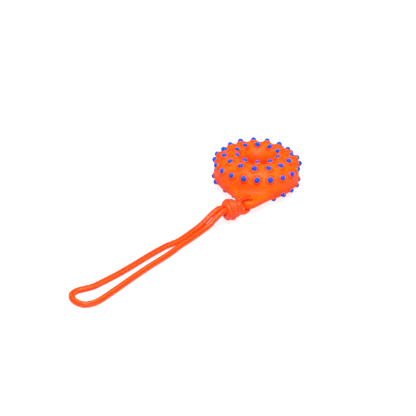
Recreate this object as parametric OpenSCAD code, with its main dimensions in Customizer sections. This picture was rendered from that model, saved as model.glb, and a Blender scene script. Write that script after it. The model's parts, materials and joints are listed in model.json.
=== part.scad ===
// Nubbed ring on a rope: a soft moulded throwing and tugging ring with a
// rope lug, coloured nub tips and a knotted hand loop of braided cord.
// Millimetres. The origin is the centre of the ring's hole, +Z is the hole's
// axis, and the rope lug points along -Y. Angles around the ring are counted
// from -Y towards +X; angles around the tube are counted from the outward
// horizontal upwards.

/* [Ring] */
// Radius of the circle that the tube's centre runs on
ring_r = 26.6; // [26:0.1:28]
// Outer radius of the tube's rounded top and bottom, without its nubs
tube_r = 15.3; // [14.8:0.1:15.6]
// Height above and below the middle at which the rounded parts are centred
tube_rise = 1.5; // [1:0.1:2]
// Thickness of the moulded wall around the hollow
wall = 3.5; // [2.5:0.1:5]
// Radius of the straight land in the middle hole
hole_r = 11.5; // [11.4:0.1:12]

/* [Nubs] */
// Distance from the centre of the tube's rounded part to a nub's tip
tip_r = 19.3; // [18.6:0.1:19.8]
// Radius of a nub where it leaves the tube
nub_base_r = 3.8; // [3:0.1:4.2]
// Radius of a nub under its coloured tip
nub_seat_r = 2.7; // [2:0.1:3]
// Height of the coloured tip
tip_h = 1.8; // [1.2:0.1:2.2]

/* [Lug] */
// Distance from the ring's centre to the rope hole
lug_reach = 55; // [53:0.5:57]
// Radius of the lug's rounded end
lug_end_r = 8; // [7:0.5:9]
// Radius of the circle that the lug's straight sides start from
lug_root_r = 37.8; // [36:0.1:39]
// Height of the lug's underside
lug_low = -12.7; // [-13.5:0.1:-12.4]
// Height of the lug's upper side
lug_high = -4.9; // [-6:0.1:-4.6]
// Radius of the rope hole
rope_hole_r = 3.6; // [3.4:0.1:4]

/* [Rope] */
// Diameter of the braided cord
cord_d = 5.5; // [5:0.1:5.6]
// Largest radius of the knot
knot_r = 10.8; // [10:0.1:10.9]
// Length of the knot along its own axis
knot_len = 20; // [18:0.5:20.5]
// How far the knot's loop end is tipped up, in degrees
knot_tilt = 18; // [12:1:20]

/* [Hidden] */
$fn = 96;

orange = [1.0, 0.42, 0.10];
blue = [0.02, 0.33, 0.95];
cord_orange = [1.0, 0.30, 0.08];
overlap = 1.5;
cord_r = cord_d / 2;
cord_sides = 10;

// Each row of nubs: angle around the tube, count, first angle around the
// ring, and the angles between which the lug leaves no room for a nub.
upper_outer = [26, 20, 7, 0, 0];
upper_shoulder = [67, 15, 2, 0, 0];
upper_crown = [109, 10, 7, 0, 0];
lower_outer = [-26, 20, 8, -50, 40];
lower_shoulder = [-67, 15, -9, -25, 30];
lower_crown = [-109, 10, 7, 0, 0];
ROWS = [upper_outer, upper_shoulder, upper_crown, lower_outer, lower_shoulder, lower_crown];

// Angles around the ring at which a row has a nub, from -180 to 180
function turned(a) = a > 180 ? a - 360 : a;
function row_angles(row) = [
    for (k = [0 : row[1] - 1])
        let (a = turned(row[2] + k * 360 / row[1]))
        if (a <= row[3] || a >= row[4]) a];

// The dome of a tip is the cap of a sphere over the nub's flat seat
seat_at = tip_r - tip_h;
dome_r = (nub_seat_r * nub_seat_r + tip_h * tip_h) / (2 * tip_h);
// The nub's cone goes down into the tube as far as overlap
cone_slope = (nub_base_r - nub_seat_r) / (seat_at - tube_r);
cone_root_r = nub_base_r + cone_slope * overlap;

// The lug's sides touch the root circle and the end circle
side_angle = asin((lug_root_r - lug_end_r) / lug_reach);
side_normal = [cos(side_angle), -sin(side_angle)];
lug_end = [0, -lug_reach];
root_touch = lug_root_r * side_normal;
end_touch = lug_end + lug_end_r * side_normal;

// The hand loop leaves the knot, lies on the ground and comes back beside
// itself. Its two ends lie on the axis that it swings up and down about.
LOOP_ROUTE = [
    [-24.6, -80.7, -4.8], [-27.6, -84.7, -5.3], [-31.6, -89.7, -7.8], [-37.6, -97.7, -12.8],
    [-44.6, -107.7, -16.3], [-50.6, -119.7, -17], [-55.6, -129.7, -17], [-65.6, -142.7, -17],
    [-76.6, -161.7, -17], [-86.6, -180.7, -17], [-96.6, -198.7, -17], [-107.6, -215.7, -17],
    [-112.6, -222.7, -17], [-118.6, -227.7, -17], [-123.6, -231.7, -17], [-126.6, -237.7, -17],
    [-124.6, -244.7, -17], [-119.6, -249.7, -17], [-112.6, -251.7, -17], [-105.6, -247.7, -17],
    [-100.6, -240.7, -17], [-91.6, -221.7, -17], [-81.6, -199.7, -17], [-71.6, -178.7, -17],
    [-61.6, -159.7, -17], [-56.6, -148.7, -17], [-51.6, -136.7, -17], [-45.6, -124.7, -17],
    [-39.6, -111.7, -17], [-34.6, -102.7, -15.8], [-30.6, -98.7, -13.3], [-27.6, -94.7, -10.3],
    [-23.6, -89.7, -6.8], [-19.6, -84.7, -4.8]];
// The eye goes over the lug, down its hole and back under it. Each point is
// the distance from the hole's axis towards the knot, the distance to the
// side, and the height.
EYE_ROUTE = [
    [16, 0, -2.6], [13, 0, -1.3], [10, 0, -0.9], [7, 0, -1.1], [4.4, 0, -1.6],
    [2, 0, -2.35], [0.7, 0, -4.2], [0.1, 0, -6.6], [0, 0, -9.5], [0, 0, -12],
    [0.45, 0.1, -13.6], [1.6, 0.4, -15], [3.6, 0.8, -15.8], [6.5, 1, -15.9],
    [9.5, 0.8, -15.5], [12.5, 0.3, -14.7], [16, 0, -13.6]];

loop_start = LOOP_ROUTE[0];
loop_finish = LOOP_ROUTE[len(LOOP_ROUTE) - 1];
loop_hinge = (loop_start + loop_finish) / 2;
hinge_gap = 0.45;
// Plan direction from the lug out along the knot, square to the hinge axis
across = loop_finish - loop_start;
knot_heading = atan2(across[0], -across[1]) + 180;
knot_plan = [cos(knot_heading), sin(knot_heading)];
knot_axis = [knot_plan[0] * cos(knot_tilt), knot_plan[1] * cos(knot_tilt), sin(knot_tilt)];
knot_centre = loop_hinge - knot_axis * (knot_len / 2 + cord_r + hinge_gap);
knot_entry = knot_centre - knot_axis * knot_len / 2;
eye_run = [knot_entry[0], knot_entry[1] + lug_reach];
eye_plan = eye_run / norm(eye_run);
eye_side = [-eye_plan[1], eye_plan[0]];

// A curve through the points p, with a ring about every step millimetres
function bend(a, b, c, d, t) =
    0.5 * (2 * b + (c - a) * t + (2 * a - 5 * b + 4 * c - d) * t * t
           + (3 * b - a - 3 * c + d) * t * t * t);
function smooth_curve(p, step) = [
    for (i = [0 : len(p) - 2])
        let (n = max(1, round(norm(p[i + 1] - p[i]) / step)))
        for (k = [0 : n - 1])
            bend(p[max(i - 1, 0)], p[i], p[i + 1], p[min(i + 2, len(p) - 1)], k / n),
    p[len(p) - 1]];
function unit(v) = v / norm(v);
function heading(p, i) = unit(p[min(i + 1, len(p) - 1)] - p[max(i - 1, 0)]);

// A round cord along the points p with half-ball ends. The vector side_of is
// never along the cord, and sets how the rings are turned.
module cord(p, side_of) {
    last = len(p) - 1;
    first_way = heading(p, 0);
    last_way = heading(p, last);
    round_off = [80, 52, 26];
    centres = concat(
        [for (a = round_off) p[0] - first_way * cord_r * sin(a)], p,
        [for (k = [2 : -1 : 0]) p[last] + last_way * cord_r * sin(round_off[k])]);
    radii = concat(
        [for (a = round_off) cord_r * cos(a)], [for (q = p) cord_r],
        [for (k = [2 : -1 : 0]) cord_r * cos(round_off[k])]);
    ways = concat(
        [for (a = round_off) first_way], [for (i = [0 : last]) heading(p, i)],
        [for (a = round_off) last_way]);
    rings = len(centres);
    m = cord_sides;
    points = [
        for (i = [0 : rings - 1])
            let (side = unit(cross(ways[i], side_of)), up = cross(side, ways[i]))
            for (k = [0 : m - 1])
                centres[i] + radii[i] * (side * cos(360 * k / m) + up * sin(360 * k / m))];
    walls = [
        for (i = [0 : rings - 2])
            for (k = [0 : m - 1])
                [i * m + k, (i + 1) * m + k, (i + 1) * m + (k + 1) % m, i * m + (k + 1) % m]];
    near_end = [for (k = [0 : m - 1]) k];
    far_end = [for (k = [m - 1 : -1 : 0]) (rings - 1) * m + k];
    polyhedron(points, concat(walls, [near_end], [far_end]));
}

// Puts its children on the tube, with +Z away from the centre of its rounded part
module at_nubs(row) {
    for (a = row_angles(row))
        rotate([0, 0, a]) translate([0, -ring_r, sign(row[0]) * tube_rise])
            rotate([90 - row[0], 0, 0]) children();
}

module nub_cone() {
    translate([0, 0, tube_r - overlap])
        cylinder(r1 = cone_root_r, r2 = nub_seat_r, h = seat_at - tube_r + overlap, $fn = 48);
}

module nub_tip() {
    intersection() {
        translate([0, 0, tip_r - dome_r]) sphere(dome_r, $fn = 48);
        translate([0, 0, seat_at]) cylinder(r = nub_base_r, h = tip_h + overlap, $fn = 48);
    }
}

// A tube of radius r bent into the ring, taller than it is wide
module tube(r) {
    for (z = [-tube_rise, tube_rise])
        rotate_extrude() translate([ring_r, z]) circle(r);
    translate([0, 0, -tube_rise])
        difference() {
            cylinder(r = ring_r + r, h = 2 * tube_rise);
            translate([0, 0, -1]) cylinder(r = ring_r - r, h = 2 * tube_rise + 2);
        }
}

module lug_plate() {
    height = lug_high - lug_low;
    translate([0, 0, lug_low]) {
        translate([0, -lug_reach, 0]) cylinder(r = lug_end_r, h = height);
        linear_extrude(height)
            polygon([root_touch, end_touch, [-end_touch[0], end_touch[1]],
                     [-root_touch[0], root_touch[1]]]);
    }
}

// The hollow tube of the ring and its nubs
module ring_body() {
    color(orange)
        difference() {
            union() {
                tube(tube_r);
                for (row = ROWS) at_nubs(row) nub_cone();
            }
            tube(tube_r - wall);
            translate([0, 0, -tube_r - tube_rise])
                cylinder(r = hole_r, h = 2 * (tube_r + tube_rise));
        }
}

// The flat lug that the cord goes through. It is moulded in one with the
// ring, and meets the tube's outside and the nearest nubs face to face.
module rope_lug() {
    color(orange)
        difference() {
            lug_plate();
            tube(tube_r);
            for (row = [lower_outer, lower_shoulder]) at_nubs(row) {
                nub_cone();
                nub_tip();
            }
            translate([0, -lug_reach, lug_low - 1])
                cylinder(r = rope_hole_r, h = lug_high - lug_low + 2);
        }
}

// The coloured tips of one row
module tips(row) {
    color(blue) at_nubs(row) nub_tip();
}

module rope_eye() {
    route = [
        for (q = EYE_ROUTE)
            let (plan = eye_plan * q[0] + eye_side * q[1])
            [plan[0], plan[1] - lug_reach, q[2]]];
    color(cord_orange) cord(route, [-eye_side[0], -eye_side[1], 0]);
}

// The wrapped knot's outer shape: a short barrel with rounded shoulders
module rope_knot() {
    end_r = knot_r * 0.62;
    half = knot_len / 2;
    steps = 8;
    color(cord_orange)
        translate(knot_centre) rotate([0, 0, knot_heading]) rotate([0, 90 - knot_tilt, 0])
            rotate_extrude()
                polygon(concat(
                    [[0, -half]],
                    [for (k = [-steps : steps])
                        [end_r + (knot_r - end_r) * cos(90 * k / steps), half * k / steps]],
                    [[0, half]]));
}

module hand_loop() {
    color(cord_orange) cord(smooth_curve(LOOP_ROUTE, 10), [0, 0, 1]);
}

ring_body();
rope_lug();
tips(upper_outer);  // tips_upper_outer
tips(upper_shoulder);  // tips_upper_shoulder
tips(upper_crown);  // tips_upper_crown
tips(lower_outer);  // tips_lower_outer
tips(lower_shoulder);  // tips_lower_shoulder
tips(lower_crown);  // tips_lower_crown
rope_eye();
rope_knot();
hand_loop();
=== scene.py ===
"""Looks of a nubbed throwing ring on a knotted hand loop of braided cord.

Everything is in metres in the part's own frame: the origin is the centre of the ring's
middle hole, +Z is the hole's axis and the cord lug points along -Y. Angles around the
ring are counted from -Y towards +X, and angles around the tube from the outward
horizontal upwards.
"""
import json
import logging
import math
from dataclasses import dataclass
from enum import Enum

import bpy
import numpy as np
from mathutils import Matrix, Vector


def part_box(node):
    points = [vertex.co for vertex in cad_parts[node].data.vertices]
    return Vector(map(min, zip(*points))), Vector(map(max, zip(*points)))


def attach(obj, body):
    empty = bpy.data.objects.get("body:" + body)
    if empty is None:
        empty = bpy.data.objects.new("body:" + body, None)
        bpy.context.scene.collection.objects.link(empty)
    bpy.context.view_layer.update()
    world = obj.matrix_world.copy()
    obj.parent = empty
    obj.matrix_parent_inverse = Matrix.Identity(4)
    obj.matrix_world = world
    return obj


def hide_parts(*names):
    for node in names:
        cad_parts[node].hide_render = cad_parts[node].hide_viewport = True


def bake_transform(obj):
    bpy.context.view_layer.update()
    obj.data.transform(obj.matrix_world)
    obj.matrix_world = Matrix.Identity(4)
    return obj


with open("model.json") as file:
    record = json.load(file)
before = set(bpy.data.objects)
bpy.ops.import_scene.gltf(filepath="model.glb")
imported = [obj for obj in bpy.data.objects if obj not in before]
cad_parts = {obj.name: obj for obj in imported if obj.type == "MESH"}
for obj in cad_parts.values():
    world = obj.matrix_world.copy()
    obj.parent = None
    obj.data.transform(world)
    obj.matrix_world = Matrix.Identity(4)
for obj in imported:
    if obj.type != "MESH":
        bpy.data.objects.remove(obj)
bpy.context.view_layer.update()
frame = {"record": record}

LOG = logging.getLogger("ring_on_a_rope")
MM = 0.001

# The hand loop's route from the knot, round its far end and back, as it lies on the ground
LOOP_ROUTE = [
    (-0.0246, -0.0807, -0.0048), (-0.0276, -0.0847, -0.0053), (-0.0316, -0.0897, -0.0078),
    (-0.0376, -0.0977, -0.0128), (-0.0446, -0.1077, -0.0163), (-0.0506, -0.1197, -0.0170),
    (-0.0556, -0.1297, -0.0170), (-0.0656, -0.1427, -0.0170), (-0.0766, -0.1617, -0.0170),
    (-0.0866, -0.1807, -0.0170), (-0.0966, -0.1987, -0.0170), (-0.1076, -0.2157, -0.0170),
    (-0.1126, -0.2227, -0.0170), (-0.1186, -0.2277, -0.0170), (-0.1236, -0.2317, -0.0170),
    (-0.1266, -0.2377, -0.0170), (-0.1246, -0.2447, -0.0170), (-0.1196, -0.2497, -0.0170),
    (-0.1126, -0.2517, -0.0170), (-0.1056, -0.2477, -0.0170), (-0.1006, -0.2407, -0.0170),
    (-0.0916, -0.2217, -0.0170), (-0.0816, -0.1997, -0.0170), (-0.0716, -0.1787, -0.0170),
    (-0.0616, -0.1597, -0.0170), (-0.0566, -0.1487, -0.0170), (-0.0516, -0.1367, -0.0170),
    (-0.0456, -0.1247, -0.0170), (-0.0396, -0.1117, -0.0170), (-0.0346, -0.1027, -0.0158),
    (-0.0306, -0.0987, -0.0133), (-0.0276, -0.0947, -0.0103), (-0.0236, -0.0897, -0.0068),
    (-0.0196, -0.0847, -0.0048),
]
# The eye's route over the lug, down its hole and back under it: distance from the
# hole's axis towards the knot, distance to the side, and height
EYE_ROUTE = [
    (0.016, 0, -0.0026), (0.013, 0, -0.0013), (0.010, 0, -0.0009), (0.007, 0, -0.0011),
    (0.0044, 0, -0.0016), (0.002, 0, -0.00235), (0.0007, 0, -0.0042), (0.0001, 0, -0.0066),
    (0, 0, -0.0095), (0, 0, -0.012), (0.00045, 0.0001, -0.0136), (0.0016, 0.0004, -0.015),
    (0.0036, 0.0008, -0.0158), (0.0065, 0.001, -0.0159), (0.0095, 0.0008, -0.0155),
    (0.0125, 0.0003, -0.0147), (0.016, 0, -0.0136),
]
CORD_DIAMETER = 0.0055
FLOOR_REACH = 6.0
# Fine steps between two points of a route, before even steps are laid along it
SPAN_STEPS = 24


class Body(Enum):
    """The moving bodies of the part."""

    RING = "ring"
    KNOT = "knot"
    LOOP = "loop"


class Slot(Enum):
    """The material slots that the part's record names."""

    RING = "ring_rubber"
    TIP = "tip_rubber"
    CORD = "braided_cord"


@dataclass(frozen=True)
class Row:
    """One row of nubs around the ring.

    Attributes:
        node: The CAD node of the row's coloured tips.
        tube_angle: Angle around the tube, in degrees.
        count: How many nubs fill the whole circle.
        first: Angle around the ring of the first nub, in degrees.
        gap: Angles around the ring between which the lug leaves no room.
    """

    node: str
    tube_angle: float
    count: int
    first: float
    gap: tuple[float, float] = (0.0, 0.0)

    def angles(self) -> list[float]:
        """Angles around the ring, in degrees, at which the row has a nub."""
        turned = [(self.first + k * 360 / self.count + 180) % 360 - 180 for k in range(self.count)]
        return [a for a in turned if a <= self.gap[0] or a >= self.gap[1]]


class NubRow(Enum):
    """The six rows of nubs."""

    UPPER_OUTER = Row("tips_upper_outer", 26, 20, 7)
    UPPER_SHOULDER = Row("tips_upper_shoulder", 67, 15, 2)
    UPPER_CROWN = Row("tips_upper_crown", 109, 10, 7)
    LOWER_OUTER = Row("tips_lower_outer", -26, 20, 8, (-50, 40))
    LOWER_SHOULDER = Row("tips_lower_shoulder", -67, 15, -9, (-25, 30))
    LOWER_CROWN = Row("tips_lower_crown", -109, 10, 7)


# ---------------------------------------------------------------- shaping tools


def smooth_min(a: np.ndarray, b: np.ndarray, blend: float) -> np.ndarray:
    """Joins two distance fields with a round fillet.

    Args:
        a: First field.
        b: Second field.
        blend: Width of the fillet.

    Returns:
        The joined field.
    """
    near = np.maximum(blend - np.abs(a - b), 0) / blend
    return np.minimum(a, b) - near * near * blend / 4


def smooth_max(a: np.ndarray, b: np.ndarray, blend: float) -> np.ndarray:
    """Cuts one distance field by another, with a rounded edge.

    Args:
        a: Field of the solid.
        b: Field that is positive where material goes.
        blend: Width of the rounded edge.

    Returns:
        The cut field.
    """
    return -smooth_min(-a, -b, blend)


def tapered_capsule(x: np.ndarray, y: np.ndarray, big: float, small: float,
                    reach: float) -> np.ndarray:
    """Distance to the hull of a big circle at the origin and a small one at (0, reach).

    Args:
        x: Distance from the hull's axis.
        y: Distance along the axis from the big circle's centre.
        big: Radius of the big circle.
        small: Radius of the small circle.
        reach: Distance between their centres.

    Returns:
        The distance, which is negative inside.
    """
    x = np.abs(x)
    lean = (big - small) / reach
    rise = math.sqrt(1 - lean * lean)
    along = rise * y - lean * x
    side = rise * x + lean * y - big
    ends = np.where(along < 0, np.hypot(x, y) - big, np.hypot(x, y - reach) - small)
    return np.where((along >= 0) & (along <= rise * reach), side, ends)


def net_surface(values: np.ndarray, low: np.ndarray, pitch: float) -> tuple[np.ndarray, np.ndarray]:
    """Draws a closed net of four-sided faces round the negative part of a grid.

    Args:
        values: Distance field on a regular grid.
        low: The grid's lowest corner.
        pitch: The grid's spacing.

    Returns:
        The net's points and its faces.
    """
    inside = values < 0
    shape = np.array(values.shape) - 1
    count = np.zeros(shape, np.int8)
    corners = [(i, j, k) for i in (0, 1) for j in (0, 1) for k in (0, 1)]
    for i, j, k in corners:
        count += inside[i:shape[0] + i, j:shape[1] + j, k:shape[2] + k]
    mixed = (count > 0) & (count < 8)
    cells = np.argwhere(mixed)
    number = np.full(shape, -1, np.int64)
    number[mixed] = np.arange(len(cells))
    total = np.zeros((len(cells), 3))
    crossings = np.zeros(len(cells))
    for start in corners:
        for axis in range(3):
            if start[axis]:
                continue
            end = list(start)
            end[axis] = 1
            a = values[tuple((cells + start).T)]
            b = values[tuple((cells + end).T)]
            crossed = (a < 0) != (b < 0)
            share = np.where(crossed, a / np.where(crossed, a - b, 1), 0)
            place = np.tile(np.array(start, float), (len(cells), 1))
            place[:, axis] += share
            total += place * crossed[:, None]
            crossings += crossed
    points = low + (cells + total / crossings[:, None]) * pitch
    faces = []
    for axis in range(3):
        u, v = (axis + 1) % 3, (axis + 2) % 3
        first = [slice(None)] * 3
        second = [slice(None)] * 3
        first[axis], second[axis] = slice(0, -1), slice(1, None)
        start, end = inside[tuple(first)], inside[tuple(second)]
        edges = np.argwhere(start != end)
        outward = start[tuple(edges.T)]
        ring = []
        for du, dv in ((-1, -1), (0, -1), (0, 0), (-1, 0)):
            cell = edges.copy()
            cell[:, u] += du
            cell[:, v] += dv
            ring.append(number[tuple(cell.T)])
        quad = np.stack(ring, 1)
        faces.append(np.where(outward[:, None], quad, quad[:, ::-1]))
    return points, np.concatenate(faces)


def mesh_object(name: str, points: np.ndarray, faces: np.ndarray) -> bpy.types.Object:
    """Makes a smooth-shaded mesh of faces that all have the same number of corners.

    Args:
        name: Name of the new object.
        points: Its points.
        faces: Its faces, one row of point numbers each.

    Returns:
        The new object.
    """
    mesh = bpy.data.meshes.new(name)
    sides = faces.shape[1]
    mesh.vertices.add(len(points))
    mesh.vertices.foreach_set("co", np.asarray(points, np.float32).ravel())
    mesh.loops.add(faces.size)
    mesh.loops.foreach_set("vertex_index", np.asarray(faces, np.int32).ravel())
    mesh.polygons.add(len(faces))
    mesh.polygons.foreach_set("loop_start", np.arange(0, faces.size, sides, dtype=np.int32))
    mesh.polygons.foreach_set("use_smooth", np.ones(len(faces), bool))
    mesh.update(calc_edges=True)
    mesh.validate()
    piece = bpy.data.objects.new(name, mesh)
    bpy.context.scene.collection.objects.link(piece)
    return piece


def mark(piece: bpy.types.Object, name: str, values: np.ndarray) -> None:
    """Stores one number for each point of a piece, for its material to read.

    Args:
        piece: The piece.
        name: Name of the stored number.
        values: One value for each point.
    """
    layer = piece.data.attributes.new(name, "FLOAT", "POINT")
    layer.data.foreach_set("value", np.asarray(values, np.float32))


def unit(v: np.ndarray) -> np.ndarray:
    """Scales vectors to length 1 along their last axis."""
    return v / np.linalg.norm(v, axis=-1, keepdims=True)


def smooth_path(points: list, step: float) -> np.ndarray:
    """Runs a smooth curve through points and lays even steps along it.

    Args:
        points: The points, in order.
        step: Distance between neighbouring points of the result.

    Returns:
        The curve's points.
    """
    p = np.asarray(points, float)
    p = np.vstack([p[0], p, p[-1]])
    t = np.linspace(0, 1, SPAN_STEPS, endpoint=False)[:, None]
    spans = []
    for a, b, c, d in zip(p[:-3], p[1:-2], p[2:-1], p[3:]):
        spans.append(0.5 * (2 * b + (c - a) * t + (2 * a - 5 * b + 4 * c - d) * t**2
                            + (3 * b - a - 3 * c + d) * t**3))
    fine = np.vstack([*spans, p[-1]])
    run = np.concatenate([[0], np.cumsum(np.linalg.norm(np.diff(fine, axis=0), axis=1))])
    even = np.linspace(0, run[-1], max(2, round(run[-1] / step) + 1))
    return np.stack([np.interp(even, run, fine[:, k]) for k in range(3)], 1)


# ---------------------------------------------------------------- finishes


class NodeSheet:
    """Short ways of adding shader nodes to one material.

    Attributes:
        mix_colours: Numbers of the two colour inputs of a Mix node.
        mix_result: Number of its colour output.
    """

    mix_colours = (6, 7)
    mix_result = 2

    def __init__(self, name: str) -> None:
        """Starts a material with a principled shader.

        Args:
            name: Name of the material.
        """
        self.material = bpy.data.materials.new(name)
        self.material.use_nodes = True
        self.tree = self.material.node_tree
        self.shader = self.tree.nodes["Principled BSDF"]

    def add(self, kind: str, inputs: dict | None = None, **settings: object) -> bpy.types.Node:
        """Adds a node.

        Args:
            kind: Blender's type name of the node.
            inputs: Values or sockets for its inputs, by name or number.
            **settings: Properties of the node.

        Returns:
            The new node.
        """
        node = self.tree.nodes.new(kind)
        for key, value in settings.items():
            setattr(node, key, value)
        for key, value in (inputs or {}).items():
            if isinstance(value, bpy.types.NodeSocket):
                self.tree.links.new(value, node.inputs[key])
            else:
                node.inputs[key].default_value = value
        return node

    def stored(self, name: str) -> bpy.types.NodeSocket:
        """The number that the mesh stores under a name, as a socket."""
        return self.add("ShaderNodeAttribute", attribute_name=name).outputs["Fac"]

    def position(self) -> bpy.types.NodeSocket:
        """The object's own coordinates, in metres, as a socket."""
        return self.add("ShaderNodeTexCoord").outputs["Object"]

    def noise(self, scale: float, detail: float = 3, roughness: float = 0.5,
              vector: bpy.types.NodeSocket | None = None) -> bpy.types.NodeSocket:
        """Adds noise.

        Args:
            scale: Lumps in one metre.
            detail: Layers of finer noise.
            roughness: Strength of the finer layers.
            vector: Coordinates to use in place of the object's own.

        Returns:
            The noise's value, about 0.5 on average.
        """
        return self.add("ShaderNodeTexNoise",
                        {"Vector": vector or self.position(), "Scale": scale, "Detail": detail,
                         "Roughness": roughness}).outputs["Fac"]

    def ramp(self, value: bpy.types.NodeSocket, low: float, high: float,
             to_low: float = 0, to_high: float = 1) -> bpy.types.NodeSocket:
        """Stretches a value from one range to another, with its ends held.

        Args:
            value: The value.
            low: Start of its range.
            high: End of its range.
            to_low: Result at the start.
            to_high: Result at the end.

        Returns:
            The stretched value.
        """
        return self.add("ShaderNodeMapRange",
                        {"Value": value, "From Min": low, "From Max": high,
                         "To Min": to_low, "To Max": to_high}).outputs["Result"]

    def mix(self, share: bpy.types.NodeSocket, a: object, b: object) -> bpy.types.NodeSocket:
        """Mixes two colours.

        Args:
            share: How much of b, from 0 to 1.
            a: A colour or a colour socket.
            b: A colour or a colour socket.

        Returns:
            The mixed colour.
        """
        node = self.add("ShaderNodeMix", data_type="RGBA")
        self.tree.links.new(share, node.inputs["Factor"])
        for slot, colour in zip(self.mix_colours, (a, b)):
            if isinstance(colour, bpy.types.NodeSocket):
                self.tree.links.new(colour, node.inputs[slot])
            else:
                node.inputs[slot].default_value = (*colour, 1)
        return node.outputs[self.mix_result]

    def bump(self, height: bpy.types.NodeSocket, distance: float, strength: float = 1.0,
             under: bpy.types.NodeSocket | None = None) -> bpy.types.NodeSocket:
        """Adds a bump.

        Args:
            height: Height, from 0 to 1.
            distance: Metres from height 0 to height 1.
            strength: How strongly it shows.
            under: A broader bump that this one lies on.

        Returns:
            The bent normal.
        """
        inputs = {"Height": height, "Distance": distance, "Strength": strength}
        if under is not None:
            inputs["Normal"] = under
        return self.add("ShaderNodeBump", inputs).outputs["Normal"]

    def dress(self, **sockets: object) -> bpy.types.Material:
        """Sets the shader's sockets, with _ for each space in a name, and gives the material."""
        for name, value in sockets.items():
            socket = self.shader.inputs[name.replace("_", " ")]
            if isinstance(value, bpy.types.NodeSocket):
                self.tree.links.new(value, socket)
            else:
                socket.default_value = value
        return self.material


@dataclass(frozen=True)
class MouldedRubber:
    """Satin soft rubber as it comes out of its mould, with painted shade in its creases, in its
    middle hole and underneath.
    """

    colour: tuple[float, float, float] = (1.0, 0.070, 0.0010)
    pale: tuple[float, float, float] = (1.0, 0.084, 0.0020)
    # Colour of the painted shade
    shade_colour: tuple[float, float, float] = (0.95, 0.026, 0.0002)
    roughness: float = 0.44

    def build(self) -> bpy.types.Material:
        """Builds the material."""
        sheet = NodeSheet("moulded_rubber_orange")
        blotch = sheet.ramp(sheet.noise(55, 4, 0.55), 0.35, 0.65)
        colour = sheet.mix(blotch, self.colour, self.pale)
        # Painted shade in the middle hole and on the underside
        colour = sheet.mix(sheet.ramp(sheet.stored("hole_and_underside_shade"), 0.0, 1.0, 0, 0.62), colour, self.shade_colour)
        # Painted shade in the fillets round the nubs and where the lug joins the tube
        crease_shade = sheet.ramp(sheet.stored("crease_shade"), 0.0, 1.0, 0, 0.75)
        colour = sheet.mix(crease_shade, colour, self.shade_colour)
        smear = sheet.ramp(sheet.noise(140, 5, 0.6), 0.3, 0.7,
                           self.roughness - 0.05, self.roughness + 0.10)
        skin = sheet.bump(sheet.noise(260, 3), 0.00012, 0.5)
        grain = sheet.bump(sheet.noise(2600, 4, 0.6), 0.00003, 0.6, skin)
        return sheet.dress(
            Base_Color=colour, Roughness=smear, Normal=grain, IOR=1.45,
            Specular_IOR_Level=0.11, Subsurface_Weight=0.12,
            Subsurface_Radius=(1.0, 0.25, 0.08), Subsurface_Scale=0.002)


@dataclass(frozen=True)
class BlueTip:
    """Glossy blue soft rubber of the nub tips, thinner and darker at its edge."""

    colour: tuple[float, float, float] = (0.0003, 0.056, 0.45)
    pale: tuple[float, float, float] = (0.0006, 0.072, 0.56)
    edge: tuple[float, float, float] = (0.0005, 0.020, 0.28)
    roughness: float = 0.24

    def build(self) -> bpy.types.Material:
        """Builds the material."""
        sheet = NodeSheet("tip_rubber_blue")
        blotch = sheet.ramp(sheet.noise(420, 4, 0.6), 0.35, 0.65)
        colour = sheet.mix(blotch, self.colour, self.pale)
        rim = sheet.ramp(sheet.stored("rim"), 0.72, 1.0, 0, 0.8)
        colour = sheet.mix(rim, colour, self.edge)
        smear = sheet.ramp(sheet.noise(700, 4, 0.6), 0.3, 0.7,
                           self.roughness - 0.06, self.roughness + 0.12)
        skin = sheet.bump(sheet.noise(900, 3), 0.00008, 0.5)
        return sheet.dress(
            Base_Color=colour, Roughness=smear, Normal=skin, IOR=1.45,
            Specular_IOR_Level=0.07)


@dataclass(frozen=True)
class BraidedYarn:
    """Bright braided yarn: fine fibres along each strand, painted shade in the gaps between strands
    and in the grooves between ribs, and a painted highlight along the ribs.
    """

    colour: tuple[float, float, float] = (1.0, 0.030, 0.0006)
    pale: tuple[float, float, float] = (1.0, 0.095, 0.0080)
    # Colour of the painted shade in the gaps and grooves
    shade_colour: tuple[float, float, float] = (0.60, 0.006, 0.0003)
    roughness: float = 0.38

    def build(self) -> bpy.types.Material:
        """Builds the material."""
        sheet = NodeSheet("braided_yarn_orange_red")
        strand = sheet.add("ShaderNodeCombineXYZ",
                           {"X": sheet.stored("along_strand"), "Y": sheet.stored("across_strand")})
        fibres = sheet.noise(1, 4, 0.6, strand.outputs["Vector"])
        colour = sheet.mix(sheet.ramp(fibres, 0.3, 0.7), self.colour, self.pale)
        dye = sheet.ramp(sheet.noise(90, 3), 0.35, 0.65, 0, 0.35)
        colour = sheet.mix(dye, colour, self.colour)
        # Painted highlight along the crests of the ribs
        colour = sheet.mix(sheet.ramp(sheet.stored("rib"), 0.45, 1.0, 0, 0.6), colour, self.pale)
        # Painted shade in the gaps between strands
        gap = sheet.ramp(sheet.stored("strand_height"), 0.05, 0.75, 1.0, 0)
        colour = sheet.mix(gap, colour, self.shade_colour)
        # Painted shade in the grooves between the ribs
        colour = sheet.mix(sheet.ramp(sheet.stored("rib"), 0.0, 0.45, 0.5, 0), colour, self.shade_colour)
        threads = sheet.bump(fibres, 0.00018, 0.8)
        fuzz = sheet.bump(sheet.noise(5200, 4, 0.7), 0.00008, 0.5, threads)
        return sheet.dress(
            Base_Color=colour, Roughness=self.roughness, Normal=fuzz, IOR=1.45,
            Specular_IOR_Level=0.22, Sheen_Weight=0.02, Sheen_Roughness=0.4,
            Sheen_Tint=(1.0, 0.35, 0.1, 1.0))


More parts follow.
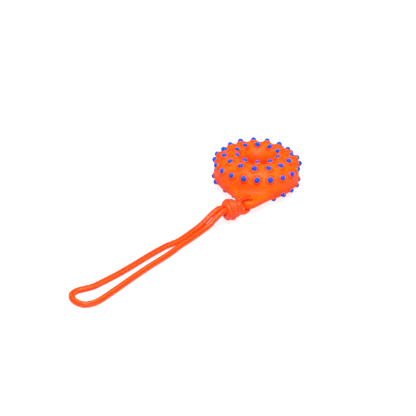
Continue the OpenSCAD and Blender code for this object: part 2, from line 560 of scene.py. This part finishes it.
@dataclass(frozen=True)
class StudioPaper:
    """Matt white sheet under the object, lit softly from behind as well."""

    colour: tuple[float, float, float] = (0.16, 0.16, 0.16)
    glow: float = 0.84

    def build(self) -> bpy.types.Material:
        """Builds the material."""
        sheet = NodeSheet("studio_paper")
        return sheet.dress(
            Base_Color=(*self.colour, 1), Roughness=0.9, Specular_IOR_Level=0.1,
            Emission_Color=(1.0, 1.0, 1.0, 1.0), Emission_Strength=self.glow)


# ---------------------------------------------------------------- the ring


@dataclass
class Ring:
    """The hollow moulded ring with its nubs, its cord lug and its coloured tips."""

    rubber: bpy.types.Material
    tip_rubber: bpy.types.Material
    ring_radius: float = 0.0266
    tube_radius: float = 0.0153
    tube_rise: float = 0.0015
    tip_distance: float = 0.0193
    nub_root: float = 0.0130
    nub_root_radius: float = 0.0044
    nub_end_radius: float = 0.0025
    nub_blend: float = 0.0018
    lug_reach: float = 0.055
    lug_end_radius: float = 0.008
    lug_root_radius: float = 0.0378
    lug_low: float = -0.0127
    lug_high: float = -0.0049
    lug_edge: float = 0.0026
    lug_blend: float = 0.007
    lug_inner: float = 0.024
    rope_hole_radius: float = 0.0036
    pitch: float = 0.00048
    tip_thickness: float = 0.00016
    tip_depth: float = 0.00035
    tip_edge_radii: tuple[float, float] = (0.00245, 0.00305)
    tip_waves: tuple = ((1, 0.05), (2, 0.045), (3, 0.03), (5, 0.018))
    hole_edge: float = 0.0004
    rope_hole_edge: float = 0.0014
    crease_of_lug: float = 0.6
    # Reach and fade of the painted shade in the hole and underneath, and its strength underneath
    shade_in_hole: tuple[float, float] = (0.0065, 0.006)
    shade_below: tuple[float, float] = (0.002, 0.011)
    shade_below_share: float = 0.9
    lug_from: float = 0.041
    lug_fade: float = 0.004
    settle_step: float = 0.00005
    settle_rounds: int = 3
    wedges: int = 16
    seed: int = 7

    def __post_init__(self) -> None:
        """Works out the hole's size from the record and gives every nub its place."""
        hole = next(m for m in frame["record"]["mounts"] if m["name"] == "ring_hole")
        self.hole_radius = hole["dims"]["r_mm"] * MM
        self.nub_tip = self.tip_distance - self.nub_end_radius
        self.draw = np.random.default_rng(self.seed)
        self.nubs = {row: [self.nub_axes(row.value, a) for a in row.value.angles()]
                     for row in NubRow}

    def nub_axes(self, row: Row, angle: float) -> tuple[np.ndarray, np.ndarray]:
        """Place and directions of one nub.

        Args:
            row: The row that it is in.
            angle: Its angle around the ring, in degrees.

        Returns:
            The tube's centre under it, and its three directions: two across it and the
            one that it points in.
        """
        a, t = math.radians(angle), math.radians(row.tube_angle)
        outward = np.array([math.sin(a), -math.cos(a), 0])
        around = np.array([math.cos(a), math.sin(a), 0])
        points = outward * math.cos(t) + np.array([0, 0, math.sin(t)])
        centre = outward * self.ring_radius
        centre[2] = math.copysign(self.tube_rise, t)
        return centre, np.array([around, np.cross(points, around), points])

    def lug(self, p: np.ndarray, rho: np.ndarray) -> np.ndarray:
        """Distance to the flat lug with its rounded edges.

        Args:
            p: Points.
            rho: Their distances from the ring's axis.

        Returns:
            The distances.
        """
        outline = tapered_capsule(p[:, 0], -p[:, 1], self.lug_root_radius,
                                  self.lug_end_radius, self.lug_reach) + self.lug_edge
        middle = (self.lug_low + self.lug_high) / 2
        half = (self.lug_high - self.lug_low) / 2
        level = np.abs(p[:, 2] - middle) - half + self.lug_edge
        plate = (np.minimum(np.maximum(outline, level), 0)
                 + np.hypot(np.maximum(outline, 0), np.maximum(level, 0)) - self.lug_edge)
        return np.maximum(plate, self.lug_inner - rho)

    def wedge(self, x: np.ndarray, y: np.ndarray) -> np.ndarray:
        """Number of the wedge round the ring's axis in which a place lies."""
        turn = np.arctan2(y, x) / (2 * math.pi) % 1.0
        return np.minimum((turn * self.wedges).astype(int), self.wedges - 1)

    def surface(self, p: np.ndarray) -> tuple[np.ndarray, np.ndarray]:
        """Distance to the whole moulding.

        Args:
            p: Points.

        Returns:
            The distances, and how far the fillets fill each place, from 0 to 1.
        """
        rho = np.hypot(p[:, 0], p[:, 1])
        beyond = np.maximum(np.abs(p[:, 2]) - self.tube_rise, 0)
        tube = np.hypot(rho - self.ring_radius, beyond) - self.tube_radius
        lug = self.lug(p, rho)
        body = smooth_min(tube, lug, self.lug_blend)
        # How far the lug's fillet fills each place, which sets the painted shade in that crease
        crease_shade = self.crease_of_lug * (np.minimum(tube, lug) - body) / (self.lug_blend / 4)
        reach = self.tip_distance - self.nub_root + 2 * self.nub_root_radius
        close = np.flatnonzero(np.abs(body) < reach)
        wedge = self.wedge(p[close, 0], p[close, 1])
        wedges = [close[wedge == k] for k in range(self.wedges)]
        for centre, axes in (n for row in self.nubs.values() for n in row):
            middle = centre + axes[2] * self.nub_root
            home = int(self.wedge(centre[0], centre[1]))
            near = np.concatenate([wedges[(home + k) % self.wedges] for k in (-1, 0, 1)])
            near = near[np.all(np.abs(p[near] - middle) < reach, axis=1)]
            if not len(near):
                continue
            local = (p[near] - middle) @ axes.T
            nub = tapered_capsule(np.hypot(local[:, 0], local[:, 1]), local[:, 2],
                                  self.nub_root_radius, self.nub_end_radius,
                                  self.nub_tip - self.nub_root)
            joined = smooth_min(body[near], nub, self.nub_blend)
            filled = (np.minimum(body[near], nub) - joined) / (self.nub_blend / 4)
            crease_shade[near] = np.maximum(crease_shade[near], filled)
            body[near] = joined
        body = smooth_max(body, self.hole_radius - rho, self.hole_edge)
        rope_hole = self.rope_hole_radius - np.hypot(p[:, 0], p[:, 1] + self.lug_reach)
        return smooth_max(body, rope_hole, self.rope_hole_edge), np.clip(crease_shade, 0, 1)

    def build_moulding(self) -> bpy.types.Object:
        """Builds the ring, its nubs and its lug as one closed skin.

        Returns:
            The moulding.
        """
        low, high = (np.array(c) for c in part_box("ring_body"))
        low[1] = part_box("rope_lug")[0][1]
        low, high = low - 3 * MM, high + 3 * MM
        counts = np.ceil((high - low) / self.pitch).astype(int) + 1
        grid = np.stack(np.meshgrid(*[np.arange(n) for n in counts], indexing="ij"), -1)
        values, _ = self.surface(low + grid.reshape(-1, 3) * self.pitch)
        points, faces = net_surface(values.reshape(counts), low, self.pitch)
        for _ in range(self.settle_rounds):
            points = self.settle(points)
        piece = mesh_object("ring_moulding", points, faces)
        # Painted shade for the rubber's colour: in the creases, and in the hole and underneath
        mark(piece, "crease_shade", self.surface(points)[1])
        mark(piece, "hole_and_underside_shade", self.hole_and_underside_shade(points))
        piece.data.materials.append(self.rubber)
        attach(piece, Body.RING.value)
        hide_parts("ring_body", "rope_lug")
        return piece

    def hole_and_underside_shade(self, points: np.ndarray) -> np.ndarray:
        """How much painted shade each point gets: most in the hole and low on the tube, none on the
        lug's top.

        Args:
            points: Points on the moulding.

        Returns:
            Numbers from 0 on the upper side to 1 in the hole and underneath.
        """
        rho = np.hypot(points[:, 0], points[:, 1])
        reach, fade = self.shade_in_hole
        inner = np.clip((self.hole_radius + reach - rho) / fade, 0, 1)
        start, fade = self.shade_below
        low = np.clip((-start - points[:, 2]) / fade, 0, 1)
        lug = np.clip((-points[:, 1] - self.lug_from) / self.lug_fade, 0, 1)
        top = np.clip((points[:, 2] - self.lug_low - self.lug_fade / 2) / self.lug_fade, 0, 1)
        return np.maximum(inner, self.shade_below_share * low * (1 - lug * top))

    def settle(self, points: np.ndarray) -> np.ndarray:
        """Moves points onto the moulding's surface.

        Args:
            points: Points near the surface.

        Returns:
            The moved points.
        """
        step = self.settle_step
        here, _ = self.surface(points)
        slope = np.stack([(self.surface(points + step * axis)[0] - here) / step
                          for axis in np.eye(3)], 1)
        return points - slope * (here / np.maximum((slope**2).sum(1), 0.2))[:, None]

    def tip_shell(self, centre: np.ndarray, axes: np.ndarray) -> tuple:
        """Builds one coloured tip as a thin closed cap with an uneven edge.

        Args:
            centre: The tube's centre under the nub.
            axes: The nub's three directions.

        Returns:
            The cap's points, its faces and how near each point is to the edge.
        """
        around, rings = 32, 11
        angle = np.arange(around) * 2 * math.pi / around
        lean = math.asin((self.nub_root_radius - self.nub_end_radius)
                         / (self.nub_tip - self.nub_root))
        turn = math.pi / 2 - lean
        dome = self.nub_end_radius * turn
        edge_radius = self.draw.uniform(*self.tip_edge_radii)
        reach = dome + (edge_radius - self.nub_end_radius * math.sin(turn)) / math.cos(turn)
        wave = sum(size * np.cos(k * angle + self.draw.uniform(0, 2 * math.pi))
                   for k, size in self.tip_waves)
        reach = reach * (1 + wave)

        def layer(share: float, lift: float) -> np.ndarray:
            """One ring of points, a share of the way to the edge and lifted off the nub."""
            run = share * reach
            bend = np.minimum(run / self.nub_end_radius, turn)
            past = np.maximum(run - dome, 0)
            out = (self.nub_end_radius + lift) * np.sin(bend) + past * np.cos(turn)
            up = self.nub_tip + (self.nub_end_radius + lift) * np.cos(bend) - past * np.sin(turn)
            return np.stack([out * np.cos(angle), out * np.sin(angle), up], 1)

        shares = np.linspace(0.04, 1, rings)
        skin = [layer(s, self.tip_thickness * (1 - s**7)) for s in shares]
        under = [layer(s, -self.tip_depth * (1 - s**5)) for s in shares[::-1][1:]]
        layers = skin + under
        count = len(layers)
        top = np.array([[0, 0, self.tip_distance + self.tip_thickness]])
        base = np.array([[0, 0, self.tip_distance - self.tip_depth]])
        points = np.vstack([*layers, top, base])
        rows = np.arange(around)
        faces = []
        for k in range(count - 1):
            a, b = k * around + rows, k * around + (rows + 1) % around
            faces.append(np.stack([a, a + around, b + around, b], 1))
        crown, pith = count * around, count * around + 1
        pairs = np.arange(0, around, 2)
        first, last = pairs, (count - 1) * around + pairs
        faces.append(np.stack([np.full(len(pairs), crown), first, first + 1,
                               (first + 2) % around], 1))
        faces.append(np.stack([np.full(len(pairs), pith),
                               (count - 1) * around + (pairs + 2) % around, last + 1, last], 1))
        rim = np.concatenate([np.repeat(shares, around), np.repeat(shares[::-1][1:], around),
                              [0, 0]])
        return centre + points @ axes, np.vstack(faces), rim

    def build_tips(self, row: NubRow) -> bpy.types.Object:
        """Builds the coloured tips of one row.

        Args:
            row: The row.

        Returns:
            The tips, as one piece of separate caps.
        """
        points, faces, rims, start = [], [], [], 0
        for centre, axes in self.nubs[row]:
            cap, corners, rim = self.tip_shell(centre, axes)
            points.append(cap)
            faces.append(corners + start)
            rims.append(rim)
            start += len(cap)
        piece = mesh_object(f"blue_{row.value.node}", np.vstack(points), np.vstack(faces))
        mark(piece, "rim", np.concatenate(rims))
        piece.data.materials.append(self.tip_rubber)
        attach(piece, Body.RING.value)
        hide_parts(row.value.node)
        return piece


# ---------------------------------------------------------------- the cord


@dataclass
class Braid:
    """A round braided cord along a path, its strands going over and under each other."""

    yarn: bpy.types.Material
    radius: float = CORD_DIAMETER / 2
    carriers: int = 6
    strand_length: float = 0.0052
    relief: float = 0.11
    ribs: int = 5
    rib_depth: float = 0.05
    fullness: float = 1.04
    strand_bow: float = 0.62
    fibres_along: float = 1.4
    fibres_across: float = 9.0
    step: float = 0.0004
    around: int = 36

    def build(self, name: str, path: np.ndarray, phase: float = 0.0) -> bpy.types.Object:
        """Braids a cord.

        Args:
            name: Name of the piece.
            path: The points that it follows, a step apart.
            phase: Turn of the braid about the path, in radians.

        Returns:
            The cord.
        """
        way = unit(np.gradient(path, axis=0))
        side = self.carried_side(way)
        up = np.cross(way, side)
        angle = np.arange(self.around) * 2 * math.pi / self.around
        run = np.arange(len(path))[:, None] * self.step
        turn = angle[None, :] + phase
        height, along, across = self.weave(turn, run)
        rib = np.broadcast_to(0.5 + 0.5 * np.cos(self.ribs * turn), height.shape)
        radius = self.radius * (self.fullness - self.relief * (1 - height)
                                - self.rib_depth * (1 - rib))
        ends = np.minimum(np.arange(len(path)), np.arange(len(path))[::-1])[:, None] * self.step
        radius = radius * np.sqrt(np.clip(1 - (1 - ends / self.radius).clip(0) ** 2, 0.02, 1))
        points = (path[:, None] + radius[..., None]
                  * (side[:, None] * np.cos(angle)[None, :, None]
                     + up[:, None] * np.sin(angle)[None, :, None]))
        count, wide = len(path), self.around
        rows, cols = np.meshgrid(np.arange(count - 1), np.arange(wide), indexing="ij")
        a, b = rows * wide + cols, rows * wide + (cols + 1) % wide
        faces = np.stack([a, b, b + wide, a + wide], -1).reshape(-1, 4)
        pairs = np.arange(0, wide, 2)
        last = (count - 1) * wide
        near, far = count * wide, count * wide + 1
        caps = [np.stack([np.full(len(pairs), near), (pairs + 2) % wide, pairs + 1, pairs], 1),
                np.stack([np.full(len(pairs), far), last + pairs, last + pairs + 1,
                          last + (pairs + 2) % wide], 1)]
        everything = np.vstack([points.reshape(-1, 3), path[:1], path[-1:]])
        piece = mesh_object(name, everything, np.vstack([faces, *caps]))
        for label, values in (("strand_height", height), ("along_strand", along),
                              ("across_strand", across), ("rib", rib)):
            mark(piece, label, np.concatenate([np.broadcast_to(values, height.shape).ravel(),
                                               [0.5, 0.5]]))
        piece.data.materials.append(self.yarn)
        return piece

    def weave(self, turn: np.ndarray, run: np.ndarray) -> tuple:
        """Height and strand coordinates of the braid.

        Args:
            turn: Angle around the cord.
            run: Distance along the cord.

        Returns:
            Height from 0 in the gaps to 1 on the strands, and the place along and across
            the strand on top, in fibre noise units.
        """
        share = turn * self.carriers / (2 * math.pi)
        a, b = share + run / self.strand_length, share - run / self.strand_length
        lay_a, lay_b = np.floor(a), np.floor(b)
        round_a = np.cos(math.pi * (a - lay_a - 0.5))
        round_b = np.cos(math.pi * (b - lay_b - 0.5))
        odd_a, odd_b = 1 - 2 * (lay_a % 2), 1 - 2 * (lay_b % 2)
        bow, weave = self.strand_bow, 1 - self.strand_bow
        over_a = bow * np.sqrt(round_a) + weave * odd_a * np.sin(math.pi * b)
        over_b = bow * np.sqrt(round_b) - weave * odd_b * np.sin(math.pi * a)
        top = over_a >= over_b
        height = np.clip(np.where(top, over_a, over_b), 0, 1)
        along = np.where(top, b * self.fibres_along, a * self.fibres_along + 31.7)
        across = np.where(top, a * self.fibres_across, b * self.fibres_across + 17.3)
        return height, along, across

    @staticmethod
    def carried_side(way: np.ndarray) -> np.ndarray:
        """Carries one sideways direction along a path without twisting it.

        Args:
            way: The path's directions.

        Returns:
            One direction square to each of them.
        """
        first = np.cross(way[0], (0.0, 0.0, 1.0) if abs(way[0][2]) < 0.9 else (1.0, 0.0, 0.0))
        sides = [unit(first)]
        for direction in way[1:]:
            carried = sides[-1] - direction * sides[-1].dot(direction)
            sides.append(unit(carried))
        return np.array(sides)


@dataclass
class HandRope:
    """The braided cord: the eye through the lug, the wrapped knot and the hand loop."""

    braid: Braid
    turns: float = 2.5
    pitch: float = 0.0054
    wrap_middle: float = 0.0026
    side_slant: float = 0.25
    up_slant: float = 0.52
    first_angle: float = 1.9
    wrap_radius: float = 0.0075
    tuck_radius: float = 0.0036
    collar_start: float = -0.0072
    collar_turns: float = 1.0
    collar_angle: float = 3.4
    collar_radius: float = 0.0046
    collar_rise: float = 0.0022
    collar_drift: float = 0.003
    core_end: float = 0.0105
    core_reach: float = 0.0029
    core_twist: float = 2.2
    tail: float = 0.009
    end_share: float = 0.55
    blend_before: float = 0.003
    blend_after: float = 0.022
    eye_entry: float = 0.010
    tuck_power: float = 0.7

    def __post_init__(self) -> None:
        """Finds the knot's place and directions from the frame."""
        joints = {j["name"]: j for j in frame["record"]["behaviour"]["joints"]}
        self.hinge = np.array(joints["loop_lift"]["pos_m"])
        self.lug_hole = np.array(joints["rope_swivel"]["pos_m"])
        low, high = (np.array(c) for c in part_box("rope_knot"))
        self.knot_centre = (low + high) / 2
        self.knot_way = unit(self.hinge - self.knot_centre)
        self.knot_side = unit(np.cross((0.0, 0.0, 1.0), self.knot_way))
        self.knot_up = np.cross(self.knot_way, self.knot_side)

    def build_loop(self) -> bpy.types.Object:
        """Builds the hand loop, whose two ends go on into the knot.

        Returns:
            The loop.
        """
        into = -self.knot_way * self.tail
        first, last = (np.array(LOOP_ROUTE[k]) * self.end_share
                       + self.hinge * (1 - self.end_share) + into for k in (0, -1))
        path = smooth_path([first, *LOOP_ROUTE, last], self.braid.step)
        piece = self.braid.build("hand_loop_cord", path)
        way = np.array(LOOP_ROUTE[3]) + np.array(LOOP_ROUTE[-4]) - 2 * self.hinge
        way = unit(way * (1, 1, 0))
        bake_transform(piece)
        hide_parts("hand_loop")
        return piece

    def build_eye(self) -> bpy.types.Object:
        """Builds the eye that goes over the lug, down its hole and back under it.

        Returns:
            The eye.
        """
        entry = self.knot_centre - self.knot_way * self.eye_entry
        run = unit((entry - self.lug_hole) * (1, 1, 0))
        side = np.array([-run[1], run[0], 0])
        route = [self.lug_hole * (1, 1, 0) + run * away + side * aside + np.array([0, 0, height])
                 for away, aside, height in EYE_ROUTE]
        piece = self.braid.build("lug_eye_cord", smooth_path(route, self.braid.step))
        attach(piece, Body.KNOT.value)
        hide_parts("rope_eye")
        return piece

    def at_knot(self, along: float, side: float, up: float) -> np.ndarray:
        """A point given along the knot's own three directions."""
        return (self.knot_centre + self.knot_way * along + self.knot_side * side
                + self.knot_up * up)

    def build_wraps(self) -> bpy.types.Object:
        """Builds the slanting turns of the knot.

        Returns:
            The wraps.
        """
        route = []
        count = round(self.turns * 16)
        for k in range(count + 1):
            share = k / count
            angle = self.first_angle - 2 * math.pi * self.turns * share
            tuck = min(1, min(share, 1 - share) * self.turns / 0.3)
            reach = self.tuck_radius + (self.wrap_radius - self.tuck_radius) * tuck**self.tuck_power
            side, up = reach * math.cos(angle), reach * math.sin(angle)
            along = self.wrap_middle + (0.5 - share) * self.pitch * self.turns
            lean = self.up_slant * (0.55 + 0.55 * share)
            route.append(self.at_knot(along + self.side_slant * side + lean * up, side, up))
        piece = self.braid.build("knot_wraps", smooth_path(route, self.braid.step))
        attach(piece, Body.KNOT.value)
        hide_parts("rope_knot")
        return piece

    def build_collar(self) -> bpy.types.Object:
        """Builds the last turn of the knot, close round the eye's two strands.

        Returns:
            The collar.
        """
        route = []
        for k in range(21):
            share = k / 20
            angle = self.collar_angle - 2 * math.pi * self.collar_turns * share
            tuck = min(1, min(share, 1 - share) / 0.15)
            reach = self.collar_radius * (0.55 + 0.45 * tuck**self.tuck_power)
            side, up = reach * math.cos(angle), reach * math.sin(angle)
            along = self.collar_start - self.collar_drift * share
            route.append(self.at_knot(along + self.side_slant * side + self.up_slant * up,
                                      side, up + self.collar_rise))
        piece = self.braid.build("knot_collar", smooth_path(route, self.braid.step))
        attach(piece, Body.KNOT.value)
        return piece

    def build_core(self) -> list[bpy.types.Object]:
        """Builds the three lengths of cord that run through the wraps.

        Returns:
            The three lengths.
        """
        pieces = []
        for name, first, side, up in (
                ("knot_core_left", self.core_end, 1, 0.4),
                ("knot_core_right", self.core_end, -1, -0.4),
                ("knot_core_low", self.core_end * 0.62, 0.15, -1.35)):
            route = []
            for k in range(9):
                share = k / 8
                angle = self.core_twist * share
                route.append(self.at_knot(
                    first - share * (first + self.core_end),
                    self.core_reach * (side * math.cos(angle) - up * math.sin(angle)),
                    self.core_reach * (side * math.sin(angle) + up * math.cos(angle))))
            piece = self.braid.build(name, smooth_path(route, self.braid.step))
            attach(piece, Body.KNOT.value)
            pieces.append(piece)
        return pieces


# ---------------------------------------------------------------- the studio


@dataclass
class Studio:
    """The camera, the floor and the soft light."""

    paper: bpy.types.Material
    aim: tuple[float, float, float] = (-0.0391, -0.0572, -0.0182)
    distance: float = 1.2033
    azimuth: float = -8.0
    elevation: float = 27.92
    roll: float = 2.19
    lens: float = 108.2

    def build_camera(self) -> bpy.types.Object:
        """Builds the camera.

        Returns:
            The camera.
        """
        a, e, roll = (math.radians(v) for v in (self.azimuth, self.elevation, self.roll))
        right = Vector((math.cos(a), -math.sin(a), 0))
        ahead = Vector((math.sin(a) * math.cos(e), math.cos(a) * math.cos(e), -math.sin(e)))
        up = right.cross(ahead)
        across = right * math.cos(roll) + up * math.sin(roll)
        above = up * math.cos(roll) - right * math.sin(roll)
        data = bpy.data.cameras.new("camera")
        data.lens = self.lens
        data.sensor_width = 36
        data.clip_start = 0.05
        camera = bpy.data.objects.new("camera", data)
        place = Vector(self.aim) - ahead * self.distance
        turn = Matrix((across, above, -ahead)).transposed()
        camera.matrix_world = Matrix.Translation(place) @ turn.to_4x4()
        bpy.context.scene.collection.objects.link(camera)
        bpy.context.scene.camera = camera
        return camera

    def build_floor(self) -> bpy.types.Object:
        """Builds the floor just under the lowest nub.

        Returns:
            The floor.
        """
        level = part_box("tips_lower_crown")[0][2]
        far = FLOOR_REACH
        points = np.array([(-far, -far, level), (far, -far, level),
                           (far, far, level), (-far, far, level)])
        floor = mesh_object("studio_floor", points, np.array([[0, 1, 2, 3]]))
        floor.data.materials.append(self.paper)
        return floor

    def build_lights(self) -> None:
        """Builds the pale surroundings and the soft lights."""
        world = bpy.data.worlds.new("surroundings")
        world.use_nodes = True
        world.node_tree.nodes["Background"].inputs["Color"].default_value = (1, 1, 1, 1)
        world.node_tree.nodes["Background"].inputs["Strength"].default_value = 0.08
        bpy.context.scene.world = world
        for name, place, size, power in (
                ("key_light", (0.10, -0.80, 1.68), 0.6, 66),
                ("top_light", (-0.1, 0.3, 1.9), 1.2, 9),
                ("front_fill", (0.3, -1.7, 0.9), 0.9, 14)):
            data = bpy.data.lights.new(name, "AREA")
            data.size = size
            data.energy = power
            light = bpy.data.objects.new(name, data)
            light.location = place
            light.rotation_euler = (-Vector(place)).to_track_quat("-Z", "Y").to_euler()
            bpy.context.scene.collection.objects.link(light)


def main() -> None:
    """Builds the camera, the cord and the ring in order, and reports each piece."""
    logging.basicConfig(level=logging.INFO, format="%(name)s: %(message)s")
    bpy.context.scene.view_settings.view_transform = "Standard"
    studio = Studio(StudioPaper().build())
    studio.build_camera()
    rope = HandRope(Braid(BraidedYarn().build()))
    pieces = [rope.build_loop(), rope.build_eye(), rope.build_wraps(), rope.build_collar(),
              *rope.build_core()]
    ring = Ring(MouldedRubber().build(), BlueTip().build())
    pieces.append(ring.build_moulding())
    pieces += [ring.build_tips(row) for row in NubRow]
    studio.build_floor()
    studio.build_lights()
    for piece in pieces:
        LOG.info("%s: %d faces", piece.name, len(piece.data.polygons))


if __name__ == "__main__":
    main()
